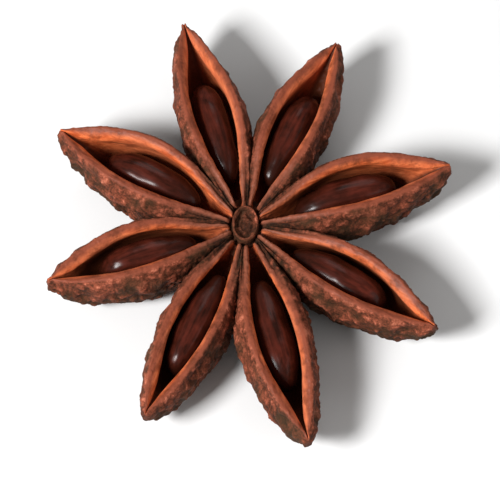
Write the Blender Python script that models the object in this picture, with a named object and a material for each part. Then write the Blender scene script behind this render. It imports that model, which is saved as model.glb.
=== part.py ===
"""A dried star anise pod: eight boat-shaped follicles round a short column, each split open along its
top with one seed inside.

Lengths are in millimetres up to the moment a mesh is written, where MM turns them into Blender's
metres. The pod lies on its eight bellies with the open side up, and the origin is the centre of its box
on the table.

Each follicle and seed is modelled in a frame of its own: X runs out from the column to the beak, Y to
the left and Z up. t is the share of the way from the column's middle, 0, to the tip of the beak, 1.
"""

import itertools
import math
from typing import NamedTuple

import bmesh
import bpy
import numpy as np

MM = 0.001

# The column that the follicles grow round: an oval button on top, a round stalk scar underneath
HUB_CENTRE = (-0.41, 0.78)
HUB_RADIUS_X = 1.4
HUB_RADIUS_Y = 2.1
HUB_TOP = 5.4
HUB_PIT = 0.55
MOAT_BOTTOM = 4.5
HUB_SHOULDER = 4.2
SCAR_BOTTOM = 1.5
SCAR_RADIUS = 1.2
HUB_SIDES = 28

# Heights of the follicles' lips and undersides
HUB_LIP_HEIGHT = 5.0
KEEL_AT_HUB = 2.5
KEEL_LOWEST_AT = 0.50
KEEL_CURVE_IN = 1.8
KEEL_CURVE_OUT = 3.2
BEAK_DEPTH = 1.4
FOOT_FLAT = 0.16

# Widths of the follicles
ROOT_IN_COLUMN = 0.12
BEAK_TAPER = 0.52
BEAK_SHOULDER = 1.6
BEAK_POINT = 0.72
BEAK_TIP_HALF_WIDTH = 0.02
NEIGHBOUR_OVERLAP = 0.15
BEAK_END = 0.992

# The split, its sloping lips, and the hollow below, which is full depth along the seed
SLIT_END = 0.975
SLIT_LEAST_HALF_WIDTH = 0.16
LIP_SHARE_OF_BELLY = 0.93
SUTURE_WIDTH = 0.95
SUTURE_SHARE_OF_LIP = 0.72
SUTURE_DROP = 0.85
WALL = 0.75
FLOOR_WALL = 1.0
HOLLOW_STARTS = 0.05
HOLLOW_FULL_FROM = 0.21
HOLLOW_FULL_TO = 0.71
HOLLOW_ENDS = 1.01
GROOVE_SHARE = 0.03

# Wrinkles of the dry skin, as far as this mesh can carry them
WRINKLE_HEIGHT = 0.30
WRINKLE_LENGTH = 1.9
WRINKLE_SHARPNESS = 2.2
FINE_WRINKLE_SHARE = 0.35
FINE_WRINKLE_SCALE = 2.1
WRINKLE_SEED = 11
LATTICE_STEP_PER_FOLLICLE = 20.0

# Mesh density. The stations crowd a little towards the beak.
STATIONS = 23
STATION_SHIFT = 0.10
OUTER_STEPS = 7
INNER_STEPS = 3

# Seeds
SEED_LENGTH_SHARE = 0.49
SEED_SHARE_OF_BELLY = 0.50
SEED_HALF_DEPTH = 2.05
SEED_HEIGHT = 3.68
SEED_BLUNTNESS = 0.10
SEED_FULLNESS = 0.9
SEED_SIDES = 14
SEED_RINGS = 10


class Follicle(NamedTuple):
    """One boat of the star, and its seed. Lengths are in mm.

    azimuth: degrees anticlockwise from +X, seen from above
    length: from the column's middle to the tip of the beak
    half_width, half_gape: half the widest belly, and half the split at its widest
    crest, beak: height of the lips at the top of their arch, and at the tip
    bow: how far the middle line swings to the left half way out
    lean: how far the left lip rises above the crest, and the right one stays below it
    seed_at: t of the middle of the seed
    """

    azimuth: float
    length: float
    half_width: float
    half_gape: float
    crest: float
    beak: float
    bow: float
    lean: float
    seed_at: float


# From the one that points away from the front, clockwise
FOLLICLES = (
    Follicle(105.9, 19.7, 2.85, 2.35, 7.0, 6.0, -0.05, 0.10, 0.48),
    Follicle(64.8, 18.9, 2.95, 2.25, 6.9, 5.9, 0.15, -0.15, 0.49),
    Follicle(16.1, 18.5, 3.10, 2.35, 7.1, 6.1, 0.40, 0.10, 0.49),
    Follicle(-31.7, 19.0, 3.10, 2.35, 7.0, 5.9, 0.10, -0.10, 0.49),
    Follicle(-75.4, 21.2, 3.10, 2.30, 7.1, 6.1, -0.25, 0.12, 0.48),
    Follicle(-115.1, 20.0, 2.85, 2.15, 6.8, 5.8, 0.10, -0.05, 0.49),
    Follicle(-161.2, 17.9, 3.05, 2.30, 7.0, 6.0, -0.10, 0.12, 0.49),
    Follicle(152.3, 18.2, 3.25, 2.55, 7.1, 6.2, -0.25, -0.10, 0.50),
)


def smaller_of(a, b, sharpness=10.0):
    """The smaller of two positive widths, with the corner between them rounded off."""
    return (a**-sharpness + b**-sharpness) ** (-1.0 / sharpness)


def ramp(x, low, high):
    """0 below low, 1 above high, and an S-curve between."""
    s = np.clip((x - low) / (high - low), 0.0, 1.0)
    return s * s * (3.0 - 2.0 * s)


def random_field(points, seed):
    """A smooth random number from -1 to 1 at each point: values on a unit lattice, blended by S-curves."""
    rng = np.random.default_rng(seed)
    values = rng.uniform(-1.0, 1.0, 256)
    order = rng.permutation(256)
    cell = np.floor(points).astype(np.int64)
    part = points - cell
    part = part * part * (3.0 - 2.0 * part)
    total = np.zeros(points.shape[:-1])
    for corner in itertools.product((0, 1), repeat=3):
        x, y, z = (np.moveaxis(cell, -1, 0) + np.reshape(corner, (3,) + (1,) * (points.ndim - 1))) & 255
        weight = np.prod(np.where(corner, part, 1.0 - part), axis=-1)
        total += weight * values[order[(order[(order[x] + y) & 255] + z) & 255]]
    return total


def half_angle(index, side):
    """Degrees from a follicle's own line to the middle of the gap on its left, side 1, or right, side -1."""
    neighbour = FOLLICLES[(index - side) % len(FOLLICLES)]
    return side * (neighbour.azimuth - FOLLICLES[index].azimuth) % 360.0 / 2.0


def bow_offset(follicle, t):
    """How far the boat's middle line swings to its left."""
    return follicle.bow * np.sin(math.pi * t)


def belly_half_width(index, t, side):
    """Half the boat's width on one side: rounded at the beak, pressed flat by the neighbour further in."""
    follicle = FOLLICLES[index]
    from_beak = np.clip((1.0 - t) / BEAK_TAPER, 0.0, 1.0)
    swell = (1.0 - (1.0 - from_beak) ** BEAK_SHOULDER) ** BEAK_POINT
    free = follicle.half_width * swell + BEAK_TIP_HALF_WIDTH
    to_neighbour = t * follicle.length * math.tan(math.radians(half_angle(index, side)))
    return smaller_of(free, to_neighbour + NEIGHBOUR_OVERLAP - side * bow_offset(follicle, t))


def lip_half_width(index, t, side):
    """Half the width across the outer edges of the split, a lens that is widest just past half way."""
    follicle = FOLLICLES[index]
    lens = np.clip(np.sin(math.pi * np.clip(t / SLIT_END, 0.0, 1.0) ** 1.2), 0.0, 1.0)
    lip = np.maximum(follicle.half_gape * lens**0.75, SLIT_LEAST_HALF_WIDTH)
    return np.minimum(lip, LIP_SHARE_OF_BELLY * belly_half_width(index, t, side))


def lip_height(index, t, side):
    """Height of the lips: arched between column and beak, one side a little higher than the other."""
    follicle = FOLLICLES[index]
    arch = follicle.crest - (HUB_LIP_HEIGHT + follicle.beak) / 2.0
    line = HUB_LIP_HEIGHT + (follicle.beak - HUB_LIP_HEIGHT) * t
    return line + (arch + side * follicle.lean) * np.sin(math.pi * t)


def keel_height(index, t):
    """Height of the boat's underside: down from the column to just under the table, then up a steep prow."""
    inner = np.clip((KEEL_LOWEST_AT - t) / KEEL_LOWEST_AT, 0.0, 1.0)
    outer = np.clip((t - KEEL_LOWEST_AT) / (1.0 - KEEL_LOWEST_AT), 0.0, 1.0)
    beak = FOLLICLES[index].beak - BEAK_DEPTH
    return KEEL_AT_HUB * inner**KEEL_CURVE_IN + beak * outer**KEEL_CURVE_OUT - FOOT_FLAT


def wall_arc(s, half_width, edge_half_width, keel, edge):
    """Part of an ellipse from the keel, s = 0, out round the belly and in again to the lip's edge, s = 1."""
    end = math.pi - np.arcsin(np.clip(edge_half_width / half_width, 0.0, 1.0))
    angle = s * end
    across = half_width * np.sin(angle)
    height = keel + (edge - keel) * (1.0 - np.cos(angle)) / (1.0 - np.cos(end))
    return across, height, angle


def wrinkles(index, along, across, height):
    """Heights from about -1.5 to 1.3 over the skin: sharp folds of one random field, a finer one on top."""
    shifted = across + LATTICE_STEP_PER_FOLLICLE * index
    place = np.stack([along, shifted, height], axis=-1) / WRINKLE_LENGTH
    folds = 1.0 - WRINKLE_SHARPNESS * np.abs(random_field(place, WRINKLE_SEED))
    return folds + FINE_WRINKLE_SHARE * random_field(FINE_WRINKLE_SCALE * place, WRINKLE_SEED + 1)


def wrinkle_share(t, s):
    """How deep the wrinkles are: none where neighbours touch, little at the lips, less at the beak."""
    return ramp(t, 0.34, 0.5) * (1.0 - 0.85 * ramp(s, 0.78, 1.0)) * (1.0 - 0.5 * ramp(t, 0.9, 1.0))


def outer_wall(index, t, s, side):
    """The rough skin on one side, as distance out along the boat, distance across it, and height."""
    along = t * FOLLICLES[index].length + 0.0 * s
    half = belly_half_width(index, t, side)
    lip = lip_half_width(index, t, side)
    across, height, angle = wall_arc(s, half, lip, keel_height(index, t), lip_height(index, t, side))
    push = WRINKLE_HEIGHT * wrinkle_share(t, s) * wrinkles(index, along, side * across, height)
    across = across + push * np.sin(angle)
    height = height - push * np.cos(angle)
    return along, side * across, height


def inner_wall(index, t, s, side):
    """The smooth lining on one side, in the same three distances; a shallow groove outside the hollow."""
    along = t * FOLLICLES[index].length + 0.0 * s
    lip = lip_half_width(index, t, side)
    suture = smaller_of(SUTURE_WIDTH, SUTURE_SHARE_OF_LIP * lip)
    edge_half_width = lip - suture
    edge = lip_height(index, t, side) - SUTURE_DROP * suture / SUTURE_WIDTH
    hollow = ramp(t, HOLLOW_STARTS, HOLLOW_FULL_FROM) * (1.0 - ramp(t, HOLLOW_FULL_TO, HOLLOW_ENDS))
    share = GROOVE_SHARE + (1.0 - GROOVE_SHARE) * hollow
    belly = belly_half_width(index, t, side)
    room = np.maximum(belly - smaller_of(WALL, 0.5 * belly) - edge_half_width, 0.01)
    depth = share * (edge - np.maximum(keel_height(index, t), 0.0) - FLOOR_WALL)
    half = edge_half_width + room * np.sqrt(share)
    across, height, _ = wall_arc(s, half, edge_half_width, edge - depth, edge)
    return along, side * across, height


def follicle_rings(index):
    """Closed sections of a follicle from column to beak: left skin and lining, right lining and skin."""
    follicle = FOLLICLES[index]
    aim = math.radians(follicle.azimuth)
    rim = 1.0 / math.hypot(math.cos(aim) / HUB_RADIUS_X, math.sin(aim) / HUB_RADIUS_Y)
    root = (rim - ROOT_IN_COLUMN) / follicle.length
    even = np.linspace(0.0, 1.0, STATIONS)
    shifted = even + STATION_SHIFT * np.sin(math.pi * even) ** 2 * even
    t = (root + (BEAK_END - root) * shifted)[:, None]
    skin = np.linspace(0.0, 1.0, OUTER_STEPS + 1)[None, :]
    lining = np.linspace(0.0, 1.0, INNER_STEPS + 1)[None, :]
    walls = (
        outer_wall(index, t, skin, 1),
        inner_wall(index, t, lining[:, ::-1], 1),
        inner_wall(index, t, lining[:, 1:], -1),
        outer_wall(index, t, skin[:, :0:-1], -1),
    )
    along, across, height = (np.concatenate(parts, axis=1) for parts in zip(*walls))
    return np.stack([along, across + bow_offset(follicle, t), np.maximum(height, 0.0)], axis=-1)


def column_rings():
    """The column as oval rings, from the stalk scar past a moat to the button's rim and into its pit."""
    profile = (
        (0.55, SCAR_BOTTOM),
        (1.0, SCAR_BOTTOM),
        (1.05, SCAR_BOTTOM + 0.5),
        (1.3, KEEL_AT_HUB + 0.3),
        (1.42, HUB_SHOULDER),
        (0.86, MOAT_BOTTOM),
        (0.84, HUB_TOP - 0.15),
        (0.77, HUB_TOP),
        (0.64, HUB_TOP - 0.1),
        (0.48, HUB_TOP - HUB_PIT),
        (0.15, HUB_TOP - HUB_PIT + 0.12),
    )
    turn = np.linspace(0.0, 2.0 * math.pi, HUB_SIDES, endpoint=False)
    rings = []
    for share, height in profile:
        oval = ramp(height, SCAR_BOTTOM, HUB_SHOULDER)
        x = share * (SCAR_RADIUS + (HUB_RADIUS_X - SCAR_RADIUS) * oval) * np.cos(turn)
        y = share * (SCAR_RADIUS + (HUB_RADIUS_Y - SCAR_RADIUS) * oval) * np.sin(turn)
        rings.append(np.stack([x, y, np.full_like(x, height)], axis=-1))
    return np.array(rings)


def seed_rings(index):
    """A flattened bean standing on its edge, blunter at the beak end, its section fuller than an ellipse."""
    follicle = FOLLICLES[index]
    angle = (math.pi * np.arange(1, SEED_RINGS + 1) / (SEED_RINGS + 1))[:, None]
    turn = np.linspace(0.0, 2.0 * math.pi, SEED_SIDES, endpoint=False)[None, :]
    t = follicle.seed_at - 0.5 * SEED_LENGTH_SHARE * np.cos(angle)
    swell = np.sin(angle) ** 0.85 * (1.0 - SEED_BLUNTNESS * np.cos(angle))
    side = np.sign(np.cos(turn)) * np.abs(np.cos(turn)) ** SEED_FULLNESS
    rise = np.sign(np.sin(turn)) * np.abs(np.sin(turn)) ** SEED_FULLNESS
    along = t * follicle.length + 0.0 * turn
    across = SEED_SHARE_OF_BELLY * follicle.half_width * swell * side + bow_offset(follicle, t)
    height = SEED_HEIGHT + SEED_HALF_DEPTH * swell * rise
    return np.stack([along, across, height], axis=-1)


def lofted(name, rings, end_bulge, azimuth, material, collection):
    """A closed object through rings of equal point counts, standing at the column and turned to an azimuth.

    A fan closes each end, its middle standing out by end_bulge times the step between the last two rings.
    """
    bm = bmesh.new()
    rows = [[bm.verts.new(point * MM) for point in ring] for ring in rings]
    count = len(rows[0])
    for low, high in itertools.pairwise(rows):
        for k in range(count):
            n = (k + 1) % count
            bm.faces.new((low[k], low[n], high[n], high[k]))
    for end, beside in ((0, 1), (-1, -2)):
        middle = rings[end].mean(axis=0)
        tip = bm.verts.new((middle + end_bulge * (middle - rings[beside].mean(axis=0))) * MM)
        for k in range(count):
            bm.faces.new((rows[end][k], rows[end][(k + 1) % count], tip))
    bmesh.ops.recalc_face_normals(bm, faces=bm.faces)
    mesh = bpy.data.meshes.new(name)
    bm.to_mesh(mesh)
    bm.free()
    mesh.materials.append(material)
    mesh.shade_smooth()
    mesh.set_sharp_from_angle(angle=math.radians(50.0))
    obj = bpy.data.objects.new(name, mesh)
    obj.location = (HUB_CENTRE[0] * MM, HUB_CENTRE[1] * MM, 0.0)
    obj.rotation_euler.z = math.radians(azimuth)
    collection.objects.link(obj)
    return obj


def finish(name, colour, roughness):
    """A plain Principled material in the part's own colour."""
    material = bpy.data.materials.new(name)
    material.use_nodes = True
    shader = material.node_tree.nodes["Principled BSDF"]
    shader.inputs["Base Color"].default_value = (*colour, 1.0)
    shader.inputs["Roughness"].default_value = roughness
    shader.inputs["Metallic"].default_value = 0.0
    material.diffuse_color = (*colour, 1.0)
    return material


def join_into(obj, members):
    """Unites an object with a collection of closed pieces that overlap it, then removes the pieces."""
    union = obj.modifiers.new("union", "BOOLEAN")
    union.operation = "UNION"
    union.operand_type = "COLLECTION"
    union.collection = members
    union.solver = "EXACT"
    graph = bpy.context.evaluated_depsgraph_get()
    joined = bpy.data.meshes.new_from_object(obj.evaluated_get(graph))
    obj.modifiers.clear()
    obj.data = joined
    for piece in list(members.objects):
        bpy.data.objects.remove(piece)
    bpy.data.collections.remove(members)


def build():
    """Makes the pod as one solid and each seed as its own."""
    for old in list(bpy.data.objects):
        bpy.data.objects.remove(old)
    scene = bpy.context.scene.collection
    husk = finish("husk", (0.20, 0.075, 0.040), 0.72)
    glossy = finish("seed", (0.09, 0.020, 0.012), 0.22)
    boats = bpy.data.collections.new("boats")
    scene.children.link(boats)
    for index, follicle in enumerate(FOLLICLES):
        lofted(f"boat_{index + 1}", follicle_rings(index), 0.1, follicle.azimuth, husk, boats)
        lofted(f"seed_{index + 1}", seed_rings(index), 0.4, follicle.azimuth, glossy, scene)
    pod = lofted("pod", column_rings(), 0.0, 0.0, husk, scene)
    bpy.context.view_layer.update()
    join_into(pod, boats)


build()
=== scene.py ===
# %% [markdown]
# # A star anise pod
# This lesson dresses a plain solid model of a dried star anise pod, until it looks like the real
# spice. The solid model is the frame: it says where the eight follicles, the column between them
# and the seeds are. We never move or resize it. We only put finer surfaces where its plain ones
# were, and give them a finish.

# %% Load the frame
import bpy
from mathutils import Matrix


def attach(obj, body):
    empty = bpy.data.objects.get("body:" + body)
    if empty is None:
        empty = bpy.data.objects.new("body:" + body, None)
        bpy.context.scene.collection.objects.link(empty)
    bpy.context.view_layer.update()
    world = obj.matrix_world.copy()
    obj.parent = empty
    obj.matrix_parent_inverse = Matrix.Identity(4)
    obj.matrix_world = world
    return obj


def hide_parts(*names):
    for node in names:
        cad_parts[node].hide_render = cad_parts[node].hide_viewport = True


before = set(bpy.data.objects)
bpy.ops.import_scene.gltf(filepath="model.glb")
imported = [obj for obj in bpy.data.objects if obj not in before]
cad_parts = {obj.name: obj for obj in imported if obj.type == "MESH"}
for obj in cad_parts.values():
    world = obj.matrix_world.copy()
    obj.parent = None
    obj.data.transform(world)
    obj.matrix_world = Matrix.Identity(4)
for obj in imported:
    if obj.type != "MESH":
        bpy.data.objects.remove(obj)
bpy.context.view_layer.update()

print("frame nodes:", sorted(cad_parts))

# %% [markdown]
# ## Units and the eight follicles
# Everything is worked out in millimetres, and MM turns it into Blender's metres when a mesh is
# written. The real pod has eight carpels, or follicles, that dried and split open along their
# upper edge. One boat could be turned eight times, but no two are alike, so each has a row of its
# own here, with the same driving sizes as the solid model.

# %% The driving sizes
import itertools
import math
from typing import NamedTuple

import bpy
import numpy as np
from mathutils import Vector

MM = 0.001
HUB_CENTRE = np.array([-0.41, 0.78, 0.0])


class Follicle(NamedTuple):
    """One boat of the star. Lengths are in mm.

    azimuth: degrees anticlockwise from +X, seen from above
    length: from the column's middle to the tip of the beak
    half_width, half_gape: half the widest belly, and half the split at its widest
    crest, beak: height of the lips at the top of their arch, and at the tip
    bow: how far the middle line swings to the left half way out
    lean: how far the left lip rises above the crest, and the right one stays below it
    seed_at: t of the middle of the seed
    """

    azimuth: float
    length: float
    half_width: float
    half_gape: float
    crest: float
    beak: float
    bow: float
    lean: float
    seed_at: float


# From the one that points away from the front, clockwise
FOLLICLES = (
    Follicle(105.9, 19.7, 2.85, 2.35, 7.0, 6.0, -0.05, 0.10, 0.48),
    Follicle(64.8, 18.9, 2.95, 2.25, 6.9, 5.9, 0.15, -0.15, 0.49),
    Follicle(16.1, 18.5, 3.10, 2.35, 7.1, 6.1, 0.40, 0.10, 0.49),
    Follicle(-31.7, 19.0, 3.10, 2.35, 7.0, 5.9, 0.10, -0.10, 0.49),
    Follicle(-75.4, 21.2, 3.10, 2.30, 7.1, 6.1, -0.25, 0.12, 0.48),
    Follicle(-115.1, 20.0, 2.85, 2.15, 6.8, 5.8, 0.10, -0.05, 0.49),
    Follicle(-161.2, 17.9, 3.05, 2.30, 7.0, 6.0, -0.10, 0.12, 0.49),
    Follicle(152.3, 18.2, 3.25, 2.55, 7.1, 6.2, -0.25, -0.10, 0.50),
)
print("follicles:", len(FOLLICLES), "longest", max(f.length for f in FOLLICLES), "mm")

# %% [markdown]
# ## Rounded choices and random fields
# Four small tools shape everything. One takes the smaller of two widths with a rounded corner
# between them. One is an S-curve from 0 to 1. The third is a smooth random field in space, which
# we could also get from Blender's textures, but as numpy arrays it moves real points, so that the
# wrinkles are true geometry and show in the outline. The last makes narrow folds of that field.

# %% Shaping tools
LATTICE = 256


def smaller_of(a, b, sharpness=10.0):
    """The smaller of two positive widths, with the corner between them rounded off.

    Large negative powers of the two are added, and the sum is turned back into a width.
    """
    return (a**-sharpness + b**-sharpness) ** (-1.0 / sharpness)


def ramp(x, low, high):
    """0 below low, 1 above high, and an S-curve between: three squares less two cubes."""
    s = np.clip((x - low) / (high - low), 0.0, 1.0)
    return s * s * (3.0 - 2.0 * s)


def random_field(points, seed):
    """A smooth random number from -1 to 1 at each point.

    Each corner of a unit lattice has a random value, and S-curves blend the eight round a point.
    """
    rng = np.random.default_rng(seed)
    values = rng.uniform(-1.0, 1.0, LATTICE)
    order = rng.permutation(LATTICE)
    cell = np.floor(points).astype(np.int64)
    part = points - cell
    part = part * part * (3.0 - 2.0 * part)
    total = np.zeros(points.shape[:-1])
    for corner in itertools.product((0, 1), repeat=3):
        step = np.reshape(corner, (3,) + (1,) * (points.ndim - 1))
        x, y, z = (np.moveaxis(cell, -1, 0) + step) % LATTICE
        weight = np.prod(np.where(corner, part, 1.0 - part), axis=-1)
        total += weight * values[order[(order[(order[x] + y) % LATTICE] + z) % LATTICE]]
    return total


def folds(points, seed, sharpness, rounding=0.14):
    """Narrow folds: highest where a random field is zero, and falling off on a hyperbola."""
    field = random_field(points, seed)
    return 1.0 - sharpness * (np.sqrt(field**2 + rounding**2) - 0.5 * rounding)


sample_points = np.random.default_rng(1).uniform(0.0, 50.0, (2000, 3))
samples = random_field(sample_points, 11)
print(f"random field: from {samples.min():.2f} to {samples.max():.2f}, mean {samples.mean():.2f}")

# %% [markdown]
# ## The outline of one follicle
# A follicle is a little boat. Seen from above, its belly is a blunt parabola at the beak, and
# nearer the column its neighbours press it flat. The split on top is a lens. Seen from the side,
# the lips arch, and the keel comes down to the table and sweeps up to the beak in a steep prow.
# We could draw these curves by hand, but formulas with the solid model's own sizes stay on it.
# Each is one formula of t, the share of the way out from the column's middle to the beak.

# %% Seen from above
BEAK_TAPER = 0.52
BEAK_SHOULDER = 1.6
BEAK_POINT = 0.72
BEAK_TIP_HALF_WIDTH = 0.02
NEIGHBOUR_OVERLAP = 0.15
SLIT_END = 0.975
SLIT_SKEW = 1.2
SLIT_FULLNESS = 0.75
SLIT_LEAST_HALF_WIDTH = 0.16
LIP_SHARE_OF_BELLY = 0.93


def half_angle(index, side):
    """Degrees to the middle of the gap on a follicle's left, side 1, or on its right, side -1."""
    neighbour = FOLLICLES[(index - side) % len(FOLLICLES)]
    return side * (neighbour.azimuth - FOLLICLES[index].azimuth) % 360.0 / 2.0


def bow_offset(follicle, t):
    """How far the boat's middle line swings to its left: half a sine wave from column to beak."""
    return follicle.bow * np.sin(math.pi * t)


def belly_half_width(index, t, side):
    """Half the belly on one side: the smaller of a blunt parabola and the way to the neighbour."""
    follicle = FOLLICLES[index]
    from_beak = np.clip((1.0 - t) / BEAK_TAPER, 0.0, 1.0)
    swell = (1.0 - (1.0 - from_beak) ** BEAK_SHOULDER) ** BEAK_POINT
    free = follicle.half_width * swell + BEAK_TIP_HALF_WIDTH
    to_neighbour = t * follicle.length * math.tan(math.radians(half_angle(index, side)))
    return smaller_of(free, to_neighbour + NEIGHBOUR_OVERLAP - side * bow_offset(follicle, t))


def lip_half_width(index, t, side):
    """Half the width across the lips' outer edges: a stretched half sine wave, within the belly."""
    way = np.clip(t / SLIT_END, 0.0, 1.0) ** SLIT_SKEW
    lens = np.clip(np.sin(math.pi * way), 0.0, 1.0)
    lip = np.maximum(FOLLICLES[index].half_gape * lens**SLIT_FULLNESS, SLIT_LEAST_HALF_WIDTH)
    return np.minimum(lip, LIP_SHARE_OF_BELLY * belly_half_width(index, t, side))


half_way = np.array([[0.5]])
for number in range(len(FOLLICLES)):
    width = belly_half_width(number, half_way, 1) + belly_half_width(number, half_way, -1)
    print(f"follicle {number + 1}: {width[0, 0]:.2f} mm across the belly half way out")

# %% Seen from the side
HUB_LIP_HEIGHT = 5.0
KEEL_AT_HUB = 2.5
KEEL_LOWEST_AT = 0.50
KEEL_CURVE_IN = 1.8
KEEL_CURVE_OUT = 3.2
BEAK_DEPTH = 1.4
FOOT_FLAT = 0.16


def lip_height(index, t, side):
    """Height of the lips: a straight line from column to beak with a half sine wave on top."""
    follicle = FOLLICLES[index]
    arch = follicle.crest - (HUB_LIP_HEIGHT + follicle.beak) / 2.0
    line = HUB_LIP_HEIGHT + (follicle.beak - HUB_LIP_HEIGHT) * t
    return line + (arch + side * follicle.lean) * np.sin(math.pi * t)


def keel_height(index, t):
    """Height of the underside: a power curve down from the column, a steeper one up to the beak."""
    inner = np.clip((KEEL_LOWEST_AT - t) / KEEL_LOWEST_AT, 0.0, 1.0)
    outer = np.clip((t - KEEL_LOWEST_AT) / (1.0 - KEEL_LOWEST_AT), 0.0, 1.0)
    beak = FOLLICLES[index].beak - BEAK_DEPTH
    return KEEL_AT_HUB * inner**KEEL_CURVE_IN + beak * outer**KEEL_CURVE_OUT - FOOT_FLAT


print(f"follicle 1: lips {lip_height(0, half_way, 1)[0, 0]:.2f} mm high half way out")

# %% [markdown]
# ## Around the section
# Cut across, the boat is an ellipse that stays open at the top. We walk round it from the keel:
# up the rough skin, over the smooth lip, or suture, down the lining, and back up the other side.
# The walk is one row of a grid, and the grid's other direction runs from column to beak. A thin
# sheet with the Solidify modifier would also make a wall, but here the wall's thickness varies,
# and the whole boat is computed at once as arrays.

# %% Skin and lips
SUTURE_WIDTH = 0.95
SUTURE_SHARE_OF_LIP = 0.72
SUTURE_DROP = 0.85
SUTURE_CROWN = 0.10
BEAK_SUTURE_EXTRA = 0.35
BEAK_SUTURE_WIDENS = (0.60, 0.85)
BEAK_SHARE_EXTRA = 0.18
BEAK_SHARE_GROWS = (0.75, 0.92)


def wall_arc(s, half_width, edge_half_width, keel, edge):
    """Part of an ellipse from the keel, s = 0, round the belly and in to the lip's edge, s = 1."""
    end = math.pi - np.arcsin(np.clip(edge_half_width / half_width, 0.0, 1.0))
    angle = s * end
    across = half_width * np.sin(angle)
    height = keel + (edge - keel) * (1.0 - np.cos(angle)) / (1.0 - np.cos(end))
    return across, height


def skin(index, t, s, side):
    """The outside on one side as a grid of points: a wall arc, before it is wrinkled."""
    half = belly_half_width(index, t, side)
    lip = lip_half_width(index, t, side)
    across, height = wall_arc(s, half, lip, keel_height(index, t), lip_height(index, t, side))
    return np.stack([t * FOLLICLES[index].length + 0.0 * s, side * across, height], axis=-1)


def lip_edges(index, t, side):
    """Half width and height of the lip's inner edge: the suture's width further in, and lower.

    The suture widens towards the beak, until the two lips almost meet.
    """
    lip = lip_half_width(index, t, side)
    width = SUTURE_WIDTH * (1.0 + BEAK_SUTURE_EXTRA * ramp(t, *BEAK_SUTURE_WIDENS))
    share = SUTURE_SHARE_OF_LIP + BEAK_SHARE_EXTRA * ramp(t, *BEAK_SHARE_GROWS)
    suture = smaller_of(width, share * lip)
    return lip - suture, lip_height(index, t, side) - SUTURE_DROP * suture / SUTURE_WIDTH


def suture(index, t, w, side):
    """The lip's smooth band: straight from outer, w = 0, to inner edge, w = 1, and crowned."""
    lip = lip_half_width(index, t, side)
    top = lip_height(index, t, side)
    inner, edge = lip_edges(index, t, side)
    across = lip + (inner - lip) * w
    height = top + (edge - top) * w + SUTURE_CROWN * np.sin(math.pi * w)
    return np.stack([t * FOLLICLES[index].length + 0.0 * w, side * across, height], axis=-1)


gape = lip_edges(0, half_way, 1)[0] + lip_edges(0, half_way, -1)[0]
print(f"follicle 1: {gape[0, 0]:.2f} mm open between the lips half way out")

# %% Lining of the hollow
WALL = 0.75
WALL_SHARE_OF_BELLY = 0.5
FLOOR_WALL = 1.0
LEAST_ROOM = 0.01
HOLLOW_OPENS = (0.05, 0.21)
HOLLOW_CLOSES = (0.71, 1.01)
GROOVE_SHARE = 0.03


def lining(index, t, s, side):
    """The inside on one side: a wall arc, and a shallow groove where there is no hollow."""
    inner, edge = lip_edges(index, t, side)
    hollow = ramp(t, *HOLLOW_OPENS) * (1.0 - ramp(t, *HOLLOW_CLOSES))
    share = GROOVE_SHARE + (1.0 - GROOVE_SHARE) * hollow
    belly = belly_half_width(index, t, side)
    wall = smaller_of(WALL, WALL_SHARE_OF_BELLY * belly)
    room = np.maximum(belly - wall - inner, LEAST_ROOM)
    depth = share * (edge - np.maximum(keel_height(index, t), 0.0) - FLOOR_WALL)
    across, height = wall_arc(s, inner + room * np.sqrt(share), inner, edge - depth, edge)
    return np.stack([t * FOLLICLES[index].length + 0.0 * s, side * across, height], axis=-1)


floor = lining(0, half_way, np.array([[0.0]]), 1)
print(f"follicle 1: floor of the hollow {floor[0, 0, 2]:.2f} mm high half way out")

# %% [markdown]
# ## The grid of a boat
# A fine grid carries the wrinkles later, so it has hundreds of stations. Next to each point we
# keep where it belongs, as a number for the kind of surface and its share of the way along that
# surface, because the finish needs both. Separate meshes for skin, lip and lining would be
# simpler to finish, but one closed mesh leaves no seams.

# %% Grid layout
STATIONS = 224
SKIN_STEPS = 84
SUTURE_STEPS = 10
LINING_STEPS = 24
SKIN, SUTURE, LINING = 0, 1, 2

up = np.linspace(0.0, 1.0, SKIN_STEPS + 1)
over = np.linspace(0.0, 1.0, SUTURE_STEPS + 1)[1:]
down = np.linspace(1.0, 0.0, LINING_STEPS + 1)[1:]


def closed_ring(left, right):
    """Joins two half sections that run from keel to hollow floor, without their shared points."""
    return np.concatenate([left, right[..., -2:0:-1, :]], axis=-2)


def boat_grid(index, t):
    """Every point of the boat's surface, station by station, once round from the keel."""
    halves = []
    for side in (1, -1):
        inside = (suture(index, t, over, side), lining(index, t, down, side))
        halves.append(np.concatenate([skin(index, t, up, side), *inside], axis=1))
    return closed_ring(*halves)


half_kind = np.repeat([SKIN, SUTURE, LINING], [len(up), len(over), len(down)])[:, None]
half_share = np.concatenate([up, over, down])[:, None]
ring_kind = closed_ring(half_kind, half_kind)[:, 0]
ring_share = closed_ring(half_share, half_share)[:, 0]
print("points round a section:", len(ring_kind))

# %% Stations from column to beak
HUB_RADIUS_X = 1.4
HUB_RADIUS_Y = 2.1
ROOT_IN_COLUMN = 0.12
BEAK_END = 0.992


def rim_radius(azimuth):
    """Radius of the oval column in a direction, in mm: the polar form of an ellipse."""
    aim = math.radians(azimuth)
    return 1.0 / math.hypot(math.cos(aim) / HUB_RADIUS_X, math.sin(aim) / HUB_RADIUS_Y)


def stations(index):
    """Values of t from just inside the column's rim to the beak, in even steps, one a row."""
    follicle = FOLLICLES[index]
    first = (rim_radius(follicle.azimuth) - ROOT_IN_COLUMN) / follicle.length
    return np.linspace(first, BEAK_END, STATIONS)[:, None]


print("stations:", STATIONS, "from t =", round(stations(0)[0, 0], 3), "to", BEAK_END)

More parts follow.
